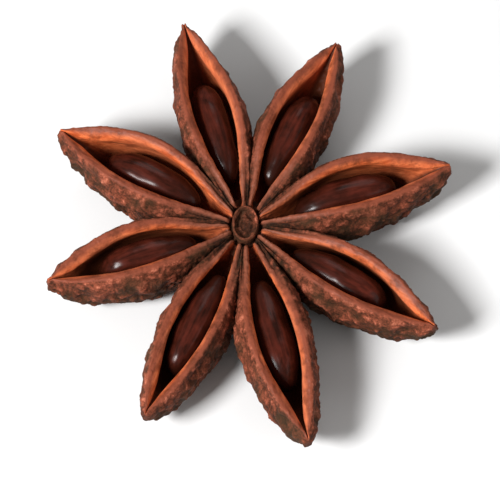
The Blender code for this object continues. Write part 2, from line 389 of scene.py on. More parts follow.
# %% [markdown]
# ## Rounding the lips
# Where skin, lip and lining meet, the formulas leave hard corners, and the real edges are worn
# round. A Bevel modifier would cut them evenly. Averaging each point with its two neighbours
# round the section, pass after pass, rounds them as a file would, a little more on the outer
# corner than on the inner one.

# %% Soft edges
OUTER_EDGE_WEIGHT = 0.9
OUTER_EDGE_REACH = 4.0
INNER_EDGE_WEIGHT = 0.8
INNER_EDGE_REACH = 3.0
SOFTENING_PASSES = 12


def soften(grid, weight):
    """Moves each point part of the way to the mean of its neighbours round the section."""
    for _ in range(SOFTENING_PASSES):
        beside = 0.5 * (np.roll(grid, 1, axis=1) + np.roll(grid, -1, axis=1))
        grid = grid + weight[None, :, None] * (beside - grid)
    return grid


def bell_round(step, reach):
    """A bell curve round the section: 1 at a step of each half, fading over reach steps."""
    half = np.exp(-(((np.arange(len(half_kind)) - step) / reach) ** 2))[:, None]
    return closed_ring(half, half)[:, 0]


outer_edge = bell_round(SKIN_STEPS, OUTER_EDGE_REACH)
inner_edge = bell_round(SKIN_STEPS + SUTURE_STEPS, INNER_EDGE_REACH)
edge_weight = np.maximum(OUTER_EDGE_WEIGHT * outer_edge, INNER_EDGE_WEIGHT * inner_edge)
print("softened steps:", int((edge_weight > 0.05).sum()), "of", len(edge_weight))

# %% [markdown]
# ## Wrinkling the skin
# The skin dried like bark. There are folds a couple of millimetres apart, rounded lumps with
# sharp creases between them, pebbles on the lumps, and grit. The lips only have fine streaks
# along them, and grains near the column. A displacement texture could do it, but here each layer
# is a random field of its own, pushed out along the surface's normal, and can fade by place. The
# folds are the ones that the solid model has too, so the outline stays on it. They fade where
# neighbours press together, at the lips, and a little at the beak.

# %% Layers of wrinkles
# Each random field has its own seed
COARSE_SEED, FINE_SEED, WARP_SEED, LUMP_SEED, PEBBLE_SEED, GRIT_SEED, STREAK_SEED = range(11, 18)
WRINKLE_LENGTH = 1.9
WRINKLE_SHARPNESS = 2.2
FINE_WRINKLE_SHARE = 0.35
FINE_WRINKLE_SCALE = 2.1
LUMP_LENGTH = 0.85
LUMP_GAIN = 1.6
PEBBLE_LENGTH = 0.40
GRIT_LENGTH = 0.22
WARP = 0.35
WARP_SLOWNESS = 1.3
WARP_AXIS_STEP = 9.0


def lumps(points, seed):
    """Rounded lumps from 0 to about 1: a random field's size, with creases where it is zero."""
    return LUMP_GAIN * np.abs(random_field(points, seed))


def coarse_folds(place):
    """The solid model's own folds with a finer random field on top, from about -1.5 to 1.3."""
    fine = FINE_WRINKLE_SHARE * random_field(FINE_WRINKLE_SCALE * place / WRINKLE_LENGTH, FINE_SEED)
    return folds(place / WRINKLE_LENGTH, COARSE_SEED, WRINKLE_SHARPNESS) + fine


def rough_layers(place):
    """Lumps, pebbles and grit, at places shifted by a slower field so that no lattice shows."""
    slow = place / LUMP_LENGTH / WARP_SLOWNESS
    warp = [random_field(slow + WARP_AXIS_STEP * k, WARP_SEED) for k in range(3)]
    bent = place + WARP * np.stack(warp, axis=-1)
    big = lumps(bent / LUMP_LENGTH, LUMP_SEED)
    small = lumps(bent / PEBBLE_LENGTH, PEBBLE_SEED)
    grit = random_field(bent / GRIT_LENGTH, GRIT_SEED)
    return big, small, grit


samples = coarse_folds(sample_points)
print(f"coarse folds: from {samples.min():.2f} to {samples.max():.2f}")

# %% How deep the wrinkles are
WRINKLE_HEIGHT = 0.30
FOLDS_BEGIN = (0.34, 0.5)
FOLDS_FADE_AT_LIP = (0.78, 1.0)
FOLDS_LOST_AT_LIP = 0.85
FOLDS_FADE_AT_BEAK = (0.9, 1.0)
FOLDS_LOST_AT_BEAK = 0.5
LUMP_HEIGHT = 0.13
PEBBLE_HEIGHT = 0.09
GRIT_HEIGHT = 0.03
LUMP_MIDDLE = 0.45
LUMPS_FADE = (0.62, 0.92)
LUMPS_END = (0.92, 1.0)
LUMPS_FADED = 0.75
LUMPS_AT_COLUMN = 0.4
LUMPS_BEGIN = (0.08, 0.35)


def coarse_share(t, s):
    """How deep the coarse folds are: none near the column, little at the lips, less at the beak."""
    at_lip = 1.0 - FOLDS_LOST_AT_LIP * ramp(s, *FOLDS_FADE_AT_LIP)
    at_beak = 1.0 - FOLDS_LOST_AT_BEAK * ramp(t, *FOLDS_FADE_AT_BEAK)
    return ramp(t, *FOLDS_BEGIN) * at_lip * at_beak


def roughness_push(t, s, big, small, grit):
    """How far lumps, pebbles and grit push the skin out: the lumps go first towards the lip."""
    left = 1.0 - LUMPS_FADED * ramp(s, *LUMPS_FADE) - (1.0 - LUMPS_FADED) * ramp(s, *LUMPS_END)
    rough = LUMP_HEIGHT * (big - LUMP_MIDDLE) * left
    rough += (PEBBLE_HEIGHT * (small - LUMP_MIDDLE) + GRIT_HEIGHT * grit) * np.sqrt(left)
    return rough * (LUMPS_AT_COLUMN + (1.0 - LUMPS_AT_COLUMN) * ramp(t, *LUMPS_BEGIN))


print("coarse folds reach", WRINKLE_HEIGHT, "mm, lumps", LUMP_HEIGHT, "mm")

# %% The wrinkled boat
LATTICE_STEP_PER_FOLLICLE = 20.0
STREAK_HEIGHT = 0.04
STREAK_LENGTH = 0.34
STREAK_SLIMNESS = 3.5
LIP_GRAIN_HEIGHT = 0.05
GRAIN_MIDDLE = 0.4
GRAINS_FADE_OUTWARD = (0.15, 0.5)
GRAINS_FADE_INWARD = (0.2, 0.6)
CREST_SHARES = (0.5, 0.45, 0.2)
SHORTEST_NORMAL = 1e-9


def own_place(index, grid):
    """The grid moved to a part of the random fields that no other follicle uses."""
    return grid + np.array([0.0, LATTICE_STEP_PER_FOLLICLE * index, 0.0])


def normals_of(grid):
    """Unit normals of a grid closed round its second axis: the cross product of its directions."""
    outward = np.gradient(grid, axis=0)
    around = np.roll(grid, -1, axis=1) - np.roll(grid, 1, axis=1)
    normal = np.cross(around, outward)
    length = np.linalg.norm(normal, axis=-1, keepdims=True)
    return normal / np.maximum(length, SHORTEST_NORMAL)


def wrinkled(index, t, grid):
    """The grid with its wrinkles pushed out, and for each point 0 in a crease to 1 on a crest."""
    s = ring_share[None, :]
    place = own_place(index, grid)
    big, small, grit = rough_layers(place)
    on_skin = roughness_push(t, s, big, small, grit)
    on_skin = on_skin + WRINKLE_HEIGHT * coarse_share(t, s) * coarse_folds(place)
    streak = random_field(place * (1.0 / STREAK_SLIMNESS, 1.0, 1.0) / STREAK_LENGTH, STREAK_SEED)
    fading = ramp(t, *GRAINS_FADE_OUTWARD) * ramp(s, *GRAINS_FADE_INWARD)
    grains = (small - GRAIN_MIDDLE) * (1.0 - fading) * (ring_kind == SUTURE)
    elsewhere = STREAK_HEIGHT * streak + LIP_GRAIN_HEIGHT * grains
    push = np.where(ring_kind == SKIN, on_skin, elsewhere)
    of_lumps, of_pebbles, of_grit = CREST_SHARES
    crest = np.clip(of_lumps * big + of_pebbles * small + of_grit * grit, 0.0, 1.0)
    return grid + push[..., None] * normals_of(grid), crest


_, crest_sample = wrinkled(0, stations(0), boat_grid(0, stations(0)))
print(f"follicle 1: mean relief {crest_sample.mean():.2f}")

# %% [markdown]
# ## From grid to mesh
# The grid becomes quads by index arithmetic, with a fan of triangles on one more point at either
# end, so the surface is closed. from_pydata would take lists of faces too, but foreach_set writes
# whole arrays into the mesh at once. The object itself stays at the origin: the boat is turned to
# its azimuth and moved to the column in its points.

# %% Mesh writer
def ring_faces(rows, columns):
    """Corner numbers and face sizes: quads between rows, and a fan to one point at each end."""
    row = np.arange(rows - 1)[:, None] * columns
    here = np.arange(columns)
    beside = (here + 1) % columns
    above = row + columns
    quads = np.stack([row + here, row + beside, above + beside, above + here], axis=-1)
    end = (rows - 1) * columns
    first, last = np.full(columns, rows * columns), np.full(columns, rows * columns + 1)
    front = np.stack([here, first, beside], axis=-1)
    back = np.stack([end + here, end + beside, last], axis=-1)
    corners = np.concatenate([quads.ravel(), front.ravel(), back.ravel()])
    return corners, np.repeat([4, 3], [(rows - 1) * columns, 2 * columns])


def store(mesh, name, values, rows, columns):
    """Keeps a number or a vector for each grid point on the mesh; a pole takes its end's mean."""
    values = values.reshape(rows, columns, -1)
    ends = [values[0].mean(axis=0), values[-1].mean(axis=0)]
    full = np.vstack([values.reshape(rows * columns, -1), *ends])
    kind, field = ("FLOAT_VECTOR", "vector") if full.shape[1] == 3 else ("FLOAT", "value")
    mesh.attributes.new(name, kind, "POINT").data.foreach_set(field, full.ravel())


def closed_mesh(name, grid, poles, attributes):
    """A mesh through a grid in mm that is closed round its second axis, with a pole at each end.

    attributes maps a name to a number or a vector for each grid point.
    """
    rows, columns, _ = grid.shape
    points = np.vstack([grid.reshape(-1, 3), *poles]) * MM
    corners, sizes = ring_faces(rows, columns)
    mesh = bpy.data.meshes.new(name)
    mesh.vertices.add(len(points))
    mesh.vertices.foreach_set("co", points.ravel())
    mesh.loops.add(len(corners))
    mesh.loops.foreach_set("vertex_index", corners)
    mesh.polygons.add(len(sizes))
    mesh.polygons.foreach_set("loop_start", np.concatenate([[0], np.cumsum(sizes)[:-1]]))
    mesh.update(calc_edges=True)
    mesh.shade_smooth()
    for key, values in attributes.items():
        store(mesh, key, values, rows, columns)
    return mesh


print("faces of a grid of 3 by 4 points, closed:", len(ring_faces(3, 4)[1]))

# %% Placing and showing
def place_on_star(points, azimuth):
    """Turns points from a follicle's own frame to its azimuth, about the column's middle."""
    c, s = math.cos(math.radians(azimuth)), math.sin(math.radians(azimuth))
    return points @ np.array([[c, s, 0.0], [-s, c, 0.0], [0.0, 0.0, 1.0]]) + HUB_CENTRE


def show(mesh, material, slot, *nodes):
    """Puts a mesh in the scene at the origin, with its material, in place of the named nodes."""
    piece = bpy.data.objects.new(mesh.name, mesh)
    bpy.context.scene.collection.objects.link(piece)
    mesh.materials.append(material)
    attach(piece, "root")
    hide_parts(*nodes)
    print(piece.name, len(mesh.polygons), "faces")


beaks = [place_on_star(np.array([f.length, 0.0, f.beak]), f.azimuth) for f in FOLLICLES]
print("beaks reach from", np.min(beaks, axis=0).round(1), "to", np.max(beaks, axis=0).round(1))

# %% [markdown]
# ## Shader maths as plain expressions
# Node trees are easier to read as formulas. Value wraps one output socket, and each operator on
# it adds a Math node. Every node comes from Finish.add, which takes the node's type, its
# settings, and its sockets' values or links.

# %% Values
class Value:
    """One node's output. Arithmetic on it, with a value or a number beside it, adds Math nodes."""

    def __init__(self, finish, socket):
        self.finish = finish
        self.socket = socket

    def math(self, operation, *operands):
        """A Math node that does the operation on the operands, in their order."""
        return self.finish.add("Math", {"operation": operation}, dict(enumerate(operands)))

    def __add__(self, other):
        return self.math("ADD", self, other)

    def __mul__(self, other):
        return self.math("MULTIPLY", self, other)

    def __sub__(self, other):
        return self.math("SUBTRACT", self, other)

    def __rsub__(self, other):
        return self.math("SUBTRACT", other, self)

    __radd__ = __add__
    __rmul__ = __mul__


print("operators on a value: + - *")

# %% Finishes
class Finish:
    """One material and the nodes in it."""

    def __init__(self, name):
        self.material = bpy.data.materials.new(name)
        self.material.use_nodes = True
        self.nodes = self.material.node_tree.nodes
        self.links = self.material.node_tree.links
        self.nodes.clear()

    def add(self, kind, settings=None, sockets=None, output=0):
        """A node of a kind: its settings first, a ramp's stops among them, then its sockets."""
        node = self.nodes.new("ShaderNode" + kind)
        for name, value in (settings or {}).items():
            if name == "stops":
                self.set_stops(node.color_ramp, value)
            else:
                setattr(node, name, value)
        for key, value in (sockets or {}).items():
            socket = self.socket(node.inputs, key)
            if isinstance(value, Value):
                self.links.new(value.socket, socket)
            else:
                socket.default_value = (*value, 1.0) if socket.type == "RGBA" else value
        return Value(self, self.socket(node.outputs, output)) if node.outputs else None

    @staticmethod
    def socket(sockets, key):
        """The socket of a number, or the one of a name that the node's settings show."""
        if isinstance(key, int):
            return sockets[key]
        return next(socket for socket in sockets if socket.name == key and socket.enabled)

    @staticmethod
    def set_stops(color_ramp, stops):
        """Gives a ramp its (position, colour) stops."""
        while len(color_ramp.elements) > 1:
            color_ramp.elements.remove(color_ramp.elements[0])
        for k, (position, colour) in enumerate(stops):
            element = color_ramp.elements[0] if k == 0 else color_ramp.elements.new(position)
            element.position = position
            element.color = (*colour, 1.0)

    def attribute(self, name, output="Fac"):
        """A number stored on the mesh's points, or a vector with output Vector."""
        return self.add("Attribute", {"attribute_name": name}, output=output)

    def noise(self, size, detail, roughness=0.5):
        """Blender's noise on Object coordinates, with features about size mm across."""
        place = self.add("TexCoord", output="Object")
        sockets = {"Vector": place, "Scale": 1.0 / (size * MM)}
        return self.add("TexNoise", None, {**sockets, "Detail": detail, "Roughness": roughness})

    def fibres(self, size, detail, slimness):
        """Noise on the mesh's own flow vector, drawn out slimness times along the follicle."""
        stretch = {"Vector": self.attribute("flow", "Vector"), "Scale": (1.0 / slimness, 1.0, 1.0)}
        sockets = {"Vector": self.add("Mapping", None, stretch), "Scale": 1.0 / size}
        return self.add("TexNoise", None, {**sockets, "Detail": detail})

    def mix(self, factor, a, b):
        """Colour a where the factor is 0 and b where it is 1."""
        sockets = {"Factor": factor, "A": a, "B": b}
        return self.add("Mix", {"data_type": "RGBA"}, sockets, output="Result")

    def ramp(self, factor, stops):
        """A colour for each value of the factor."""
        return self.add("ValToRGB", {"stops": stops}, {"Fac": factor})

    def clamp(self, value, low, high):
        """Takes the value from low to high as 0 to 1, and holds it there outside."""
        sockets = {"Value": value, "From Min": low, "From Max": high}
        return self.add("MapRange", {"clamp": True}, sockets)

    def bump(self, height, strength, distance):
        """A normal tilted by a height pattern."""
        sockets = {"Strength": strength, "Distance": distance, "Height": height}
        return self.add("Bump", None, sockets)

    def surface(self, sockets):
        """A Principled BSDF with these sockets, as the material's surface."""
        self.add("OutputMaterial", None, {"Surface": self.add("BsdfPrincipled", None, sockets)})
        return self.material


print("a finish has:", ", ".join(name for name in vars(Finish) if not name.startswith("_")))

# %% [markdown]
# ## The husk's finish
# Three kinds of surface meet on the husk. The skin is dull and rough, with patches that are almost
# green; its colour carries painted shade in the folds, towards the keel and near the column, and a
# painted pinkish-brown highlight on the crests. The lips are orange-brown with fine streaks, and
# duller on their outer half. The lining is the same wood, with painted shade that darkens it with
# depth.
# Three materials would meet in hard lines, so the mesh carries a number for each kind, and one
# material blends them.

# %% Skin colour
# A pattern's size in mm, its detail and its roughness
MOTTLE = (1.1, 4.0, 0.6)
GRAIN = (0.18, 3.0, 0.7)
PATCHES = (2.4, 3.0)
SKIN_STOPS = (
    (0.0, (0.014, 0.006, 0.003)),
    (0.30, (0.056, 0.017, 0.007)),
    (0.55, (0.140, 0.036, 0.017)),
    (0.80, (0.290, 0.074, 0.038)),
    (1.0, (0.520, 0.165, 0.095)),
)
OLIVE = (0.036, 0.022, 0.009)
OLIVE_AT_MOST = 0.6
OLIVE_RANGE = (0.52, 0.72)
OLIVE_BY_DEPTH = 0.3
# Painted highlight on the crests and painted shade in the creases: the relief lightens the tone
TONE_BY_RELIEF = 0.50
TONE_BY_MOTTLE = 0.8
TONE_BY_GRAIN = 1.1
# Painted shade near the column: the skin's tone rises only away from it
TONE_OUTWARD = 0.42
# Painted shade: the skin's tone falls towards the keel
TONE_LOST_BY_DEPTH = 0.60


def skin_colour(finish, mottle, grain):
    """A ramp over relief, patterns and the way out, less the depth, with olive patches mixed in.
    The relief paints highlights on crests and shade in creases; the way out and the depth paint
    shade near the column and towards the keel.
    """
    depth = finish.attribute("depth")
    speckle = TONE_BY_MOTTLE * (mottle - 0.5) + TONE_BY_GRAIN * (grain - 0.5)
    tone = TONE_BY_RELIEF * finish.attribute("relief") + speckle
    tone = tone + TONE_OUTWARD * finish.attribute("outward") - TONE_LOST_BY_DEPTH * depth
    olive = finish.clamp(finish.noise(*PATCHES) + OLIVE_BY_DEPTH * depth, *OLIVE_RANGE)
    return finish.mix(OLIVE_AT_MOST * olive, finish.ramp(tone, SKIN_STOPS), OLIVE)


print("skin colours:", len(SKIN_STOPS), "stops")

# %% Lip and lining colour
FADING = (7.0, 2.0)
FADED_RANGE = (0.42, 0.62)
FADED_AT_MOST = 0.5
LIP_OUTER = (0.230, 0.056, 0.028)
LIP_AT_COLUMN = (0.240, 0.074, 0.041)
LIP_DARK = (0.460, 0.082, 0.022)
LIP_BRIGHT = (0.830, 0.205, 0.068)
LIP_FADED = (0.520, 0.160, 0.082)
# Dark colour of the lining's spots, and of the painted shade deep in the hollow
LINING_SHADE_AND_SPOTS = (0.085, 0.021, 0.008)
INNER_HALF_RANGE = (0.32, 0.74)
INNER_HALF_BY_MOTTLE = 0.5
INNER_HALF_OUTWARD = 0.4
SPOT_RANGE = (0.72, 0.50)
SPOT_BY_GRAIN = 0.4
SPOTS_AT_MOST = 0.6
DEEP_RANGE = (0.30, 0.95)
DEEP_BY_MOTTLE = 0.25


def inside_colour(finish, mottle, grain, fibres):
    """Streaks, faded here and there, on the inner half; dull outside it; dark spots, and painted
    shade deeper in the hollow.
    """
    inward, outward = finish.attribute("inward"), finish.attribute("outward")
    faded = finish.clamp(finish.noise(*FADING), *FADED_RANGE)
    streaks = finish.mix(fibres, LIP_DARK, LIP_BRIGHT)
    inner = finish.mix(FADED_AT_MOST * faded, streaks, LIP_FADED)
    outer = finish.mix(outward, LIP_AT_COLUMN, LIP_OUTER)
    edge = inward + INNER_HALF_BY_MOTTLE * (mottle - 0.5) + INNER_HALF_OUTWARD * (outward - 1.0)
    wood = finish.mix(finish.clamp(edge, *INNER_HALF_RANGE), outer, inner)
    spots = finish.clamp(mottle + SPOT_BY_GRAIN * grain, *SPOT_RANGE)
    wood = finish.mix(SPOTS_AT_MOST * spots, wood, LINING_SHADE_AND_SPOTS)
    # Painted shade: the lining darkens with its depth below the lip and on the hollow's floor
    deep = finish.attribute("depth") + DEEP_BY_MOTTLE * (mottle - 0.5)
    return finish.mix(finish.clamp(deep, *DEEP_RANGE), wood, LINING_SHADE_AND_SPOTS)


print("lip from", LIP_DARK, "to", LIP_BRIGHT)

# %% Husk material
# Size in mm, detail and slimness of the streaks
LIP_FIBRES = (0.32, 3.0, 5.0)
FIBRE_RANGE = (0.35, 0.68)
HUSK_ROUGHNESS = 0.46
SKIN_EXTRA_ROUGHNESS = 0.36
GRAIN_ROUGHNESS = 0.15
INSIDE_GRAIN_SHARE = 0.3
FIBRE_RELIEF = 0.5
HUSK_BUMP = (0.7, 0.00008)
DRY_SPECULAR = 0.15


def husk_finish():
    """Skin by relief and noise, lips by streaks, lining by depth, blended by the mesh's numbers."""
    finish = Finish("husk")
    on_skin = finish.attribute("skin")
    mottle = finish.noise(*MOTTLE)
    grain = finish.noise(*GRAIN)
    fibres = finish.clamp(finish.fibres(*LIP_FIBRES), *FIBRE_RANGE)
    inside = inside_colour(finish, mottle, grain, fibres)
    colour = finish.mix(on_skin, inside, skin_colour(finish, mottle, grain))
    roughness = HUSK_ROUGHNESS + SKIN_EXTRA_ROUGHNESS * on_skin + GRAIN_ROUGHNESS * (grain - 0.5)
    grain_share = INSIDE_GRAIN_SHARE + (1.0 - INSIDE_GRAIN_SHARE) * on_skin
    bump = finish.bump(grain * grain_share + FIBRE_RELIEF * fibres, *HUSK_BUMP)
    sockets = {"Base Color": colour, "Roughness": roughness, "Normal": bump}
    return finish.surface({**sockets, "Specular IOR Level": DRY_SPECULAR})


husk = husk_finish()
print("husk material:", len(husk.node_tree.nodes), "nodes")

# %% [markdown]
# ## The eight boats
# Now the parts come together: outline, rounded lips, wrinkles, bow and place. Near the column
# each lip ends in a small knob, and deep grooves part it from its neighbours'. Each boat is a
# closed piece that stands for its share of the solid pod. Joining them with a Boolean modifier
# would fuse the creases, so they simply overlap where the real ones are grown together.

# %% Roots and grooves
ROOT_ROUNDING = 0.45
ROOT_ROUNDED_FROM = (KEEL_AT_HUB + 1.0, HUB_LIP_HEIGHT - 0.3)
GROOVE_DEPTH = 0.50
BOATS_PART = (0.16, 0.42)
SKIN_ENDS = (0.95, 1.0)
SKIN_ENDS_ON_LIP = (0.05, 0.35)


def round_the_root(index, t, grid):
    """Brings the lips down in a quarter circle at the column, so that each ends in a small knob."""
    from_root = (t - t[0]) * FOLLICLES[index].length
    short = np.clip(1.0 - from_root / ROOT_ROUNDING, 0.0, 1.0)
    drop = ROOT_ROUNDING * (1.0 - np.sqrt(1.0 - short**2))
    grid[..., 2] -= drop * ramp(grid[..., 2], *ROOT_ROUNDED_FROM)
    return grid


def crowding(t):
    """1 near the column, where the boats press together, and 0 from where they part."""
    return 1.0 - ramp(t, *BOATS_PART)


def skin_share(t):
    """1 on the skin and 0 inside. Where the boats crowd, skin climbs a third over the lip, so that
    the skin's painted shade near the column darkens the groove between the boats.
    """
    on_skin = 1.0 - (1.0 - crowding(t)) * ramp(ring_share, *SKIN_ENDS)
    on_lip = crowding(t) * (1.0 - ramp(ring_share, *SKIN_ENDS_ON_LIP))
    return np.select([ring_kind == SKIN, ring_kind == SUTURE], [on_skin, on_lip], 0.0)


print(f"crowding at t = 0.25: {crowding(0.25):.2f}")

# %% Boats
# Painted shade: how dark the skin gets towards the keel, and where the hollow's floor is shaded
BELLY_SHADE_AT_MOST = 0.60
FLOOR_SHADED = (0.10, 0.60)
# Near the column the lips are duller, and the skin has painted shade
DULL_AND_SHADED_NEAR_COLUMN = (0.10, 0.42)
POLE_OUT = 0.1
# How far below the lip the painted shade in the lining is darkest, in mm, for each follicle
LINING_SHADE_FULL_AT = (5.2, 5.0, 4.8, 3.0, 2.8, 2.8, 3.6, 5.4)


def depths(index, t, grid):
    """Painted shade by depth: the way to the keel outside, and below the lip or on the hollow's
    floor inside.
    """
    below_lip = (lip_height(index, t, 1) - grid[..., 2]) / LINING_SHADE_FULL_AT[index]
    on_floor = (ring_kind == LINING) * (1.0 - ramp(ring_share, *FLOOR_SHADED))
    inside = np.maximum(np.clip(below_lip, 0.0, 1.0), on_floor)
    return np.where(ring_kind == SKIN, np.minimum(1.0 - ring_share, BELLY_SHADE_AT_MOST), inside)


def boat_mesh(index):
    """One follicle as a closed mesh, with its numbers for the finish.

    The outer edges of the lips sink into grooves near the column. Then the skin is wrinkled and
    held above the table, and the middle line is bowed.
    """
    follicle = FOLLICLES[index]
    t = stations(index)
    grid = round_the_root(index, t, soften(boat_grid(index, t), edge_weight))
    grid[..., 2] -= GROOVE_DEPTH * outer_edge * crowding(t)
    depth = depths(index, t, grid)
    grid, crest = wrinkled(index, t, grid)
    grid[..., 2] = np.maximum(grid[..., 2], 0.0)
    grid[..., 1] += bow_offset(follicle, t)
    across_lip = np.select([ring_kind == SKIN, ring_kind == SUTURE], [0.0, ring_share], 1.0)
    numbers = {
        "skin": skin_share(t),
        "inward": np.broadcast_to(across_lip, crest.shape),
        "depth": depth,
        "outward": np.broadcast_to(ramp(t, *DULL_AND_SHADED_NEAR_COLUMN), crest.shape),
        "relief": crest,
        "flow": own_place(index, grid),
    }
    first, before_last, last = grid[[0, -2, -1]].mean(axis=1)
    poles = np.array([first, last + POLE_OUT * (last - before_last)])
    placed = [place_on_star(points, follicle.azimuth) for points in (grid, poles)]
    return closed_mesh(f"follicle_{index + 1}", *placed, numbers)


for number in range(len(FOLLICLES)):
    show(boat_mesh(number), husk, "husk", "pod")

# %% [markdown]
# ## The column
# In the middle is an oval button with a raised rim round a shallow pit, and underneath is the
# round scar where the stalk broke off. It is turned like a chair leg: a profile of radius and
# height, carried round an oval. The Screw modifier does that for a circle only.

# %% Column profile
# Points of (share of the radius, height in mm), from the scar up to the pit
SCAR_PROFILE = (
    (0.02, 1.62), (0.35, 1.62), (0.42, 1.74), (0.50, 1.56), (0.95, 1.5), (1.06, 1.7), (1.12, 2.2),
)
SHAFT_PROFILE = ((1.3, 2.8), (1.42, 3.4), (1.42, 4.0), (1.15, 4.15), (0.93, 4.2), (0.84, 4.35))
BUTTON_PROFILE = (
    (0.82, 5.0), (0.80, 5.25), (0.75, 5.38), (0.70, 5.36), (0.64, 5.15), (0.58, 4.88), (0.48, 4.78),
)
PIT_PROFILE = ((0.3, 4.92), (0.15, 4.80), (0.02, 4.88))
COLUMN_SIDES = 120
ROWS_PER_POINT = 9
SCAR_RADIUS = 1.2
SCAR_BOTTOM = 1.5
SHOULDER = 4.2


def column_grid():
    """The profile turned round an oval, which is round at the scar and long at the button."""
    profile = np.array(SCAR_PROFILE + SHAFT_PROFILE + BUTTON_PROFILE + PIT_PROFILE)
    steps = np.linspace(0.0, len(profile) - 1.0, ROWS_PER_POINT * len(profile))
    share = np.interp(steps, np.arange(len(profile)), profile[:, 0])[:, None]
    height = np.interp(steps, np.arange(len(profile)), profile[:, 1])[:, None]
    turn = np.linspace(0.0, 2.0 * math.pi, COLUMN_SIDES, endpoint=False)[None, :]
    oval = ramp(height, SCAR_BOTTOM, SHOULDER)
    x = share * (SCAR_RADIUS + (HUB_RADIUS_X - SCAR_RADIUS) * oval) * np.cos(turn)
    y = share * (SCAR_RADIUS + (HUB_RADIUS_Y - SCAR_RADIUS) * oval) * np.sin(turn)
    return np.stack([x, y, height + 0.0 * turn], axis=-1), share


print("rows of the column:", len(column_grid()[0]))

# %% Column
COLUMN_ROUGHNESS = 0.12
COLUMN_GRIT = 0.3
PIT_CENTRE_CALM = (0.05, 0.3)
RIM_CALM = (0.6, 0.8)
PIT_PUSH = 1.2
# The column's outward and depth numbers give it part of the skin's painted shade near the column
COLUMN_NUMBERS = {"skin": 0.95, "inward": 0.0, "depth": 0.15, "outward": 0.45}
COLUMN_CREST_SHARES = (0.45, 0.5)
COLUMN_RELIEF = 0.8
COLUMN_RELIEF_AT_MOST = 0.7
RIM_RELIEF = 0.6
RIM_HEIGHTS = (5.1, 5.35)


def column_mesh():
    """The column with pebbles and grit pushed out, most in pit and scar, and a light raised rim."""
    grid, share = column_grid()
    big, small, grit = rough_layers(grid)
    push = COLUMN_ROUGHNESS * (small - GRAIN_MIDDLE + COLUMN_GRIT * grit)
    push = push * ramp(share, *PIT_CENTRE_CALM) * (PIT_PUSH - ramp(share, *RIM_CALM))
    grid = grid + push[..., None] * normals_of(grid)
    of_lumps, of_pebbles = COLUMN_CREST_SHARES
    crest = np.clip(of_lumps * big + of_pebbles * small, 0.0, COLUMN_RELIEF_AT_MOST)
    numbers = {name: np.full_like(push, value) for name, value in COLUMN_NUMBERS.items()}
    # The relief lightens pebble crests as painted highlight, and the raised rim too
    numbers["relief"] = COLUMN_RELIEF * crest + RIM_RELIEF * ramp(grid[..., 2], *RIM_HEIGHTS)
    numbers["flow"] = grid
    poles = grid[[0, -1]].mean(axis=1)
    return closed_mesh("column", grid + HUB_CENTRE, poles + HUB_CENTRE, numbers)


show(column_mesh(), husk, "husk", "pod")

# %% [markdown]
# ## The seeds
# A seed is a flattened bean that stands on its edge, with a thin ridge along that edge and a coat
# like lacquer: dark red-brown, smooth, with small sharp highlights. Light hardly reaches its
# flanks and the end towards the column, so the colour is darker there too. A scaled sphere would
# pass from afar, but the bean's blunt end and shallow dents are what bends its highlights.

# %% Seed finish
SEED_DARK = (0.018, 0.004, 0.002)
SEED_BRIGHT = (0.092, 0.016, 0.009)
SEED_HEIGHT = 3.78
SEED_HALF_DEPTH = 2.10
CLOUDS = (1.8, 3.0, 0.6)
SEED_FIBRES = (0.28, 3.0, 8.0)
SEED_GRAIN = (0.15, 2.0)
SEED_GRAIN_RELIEF = 0.3
SEED_TOP = (SEED_HEIGHT + 0.4, SEED_HEIGHT + 0.9 * SEED_HALF_DEPTH)
# Shade at the dark end, and what is added at the light one
TOP_SHADE = (0.10, 0.95)
END_SHADE = (0.30, 0.75)
CLOUDS_IN_TONE = 0.5
STREAKS_IN_TONE = 0.6
SEED_TONE_RANGE = (0.40, 0.80)
SEED_ROUGHNESS = 0.18
CLOUD_ROUGHNESS = 0.12
SEED_BUMP = (0.5, 0.00002)
LACQUER_SPECULAR = 0.15


def seed_finish():
    """Lacquer over dark wood: lighter clouds and fine streaks, with painted shade on the flanks and
    the inner end.
    """
    finish = Finish("seed")
    clouds = finish.noise(*CLOUDS)
    streaks = finish.fibres(*SEED_FIBRES)
    flow = finish.attribute("flow", "Vector")
    level = finish.add("SeparateXYZ", None, {"Vector": flow}, output="Z")
    # Painted shade: darker on the flanks below the top, and towards the end at the column
    on_top = finish.clamp(level + (clouds - 0.5), *SEED_TOP)
    shade = TOP_SHADE[0] + TOP_SHADE[1] * on_top
    shade = shade * (END_SHADE[0] + END_SHADE[1] * finish.attribute("outward"))
    tone = CLOUDS_IN_TONE * clouds + STREAKS_IN_TONE * streaks
    colour = finish.mix(finish.clamp(tone, *SEED_TONE_RANGE) * shade, SEED_DARK, SEED_BRIGHT)
    roughness = SEED_ROUGHNESS + CLOUD_ROUGHNESS * clouds
    bump = finish.bump(streaks + SEED_GRAIN_RELIEF * finish.noise(*SEED_GRAIN), *SEED_BUMP)
    sockets = {"Base Color": colour, "Roughness": roughness, "Normal": bump}
    return finish.surface({**sockets, "Specular IOR Level": LACQUER_SPECULAR})


lacquer = seed_finish()
print("seed material:", len(lacquer.node_tree.nodes), "nodes")

# %% Seed shape
DENT_SEED, FINE_DENT_SEED = 18, 19
SEED_LENGTH_SHARE = 0.50
SEED_SHARE_OF_BELLY = 0.56
SEED_TAPER = 0.85
SEED_BLUNTNESS = 0.10
SEED_FULLNESS = 0.82
SEED_RINGS = 72
SEED_SIDES = 80
SEED_RIDGE = 0.05
SEED_RIDGE_WIDTH = 0.12
SEED_DENTS = 0.10
SEED_DENT_LENGTH = 1.6
SEED_DENTS_INWARD = 0.6
FINE_DENT_SHARE = 0.2
FINE_DENT_SCALE = 2.7
LATTICE_STEP_PER_SEED = 31.0
END_LIGHTENS = (0.15, 0.60)


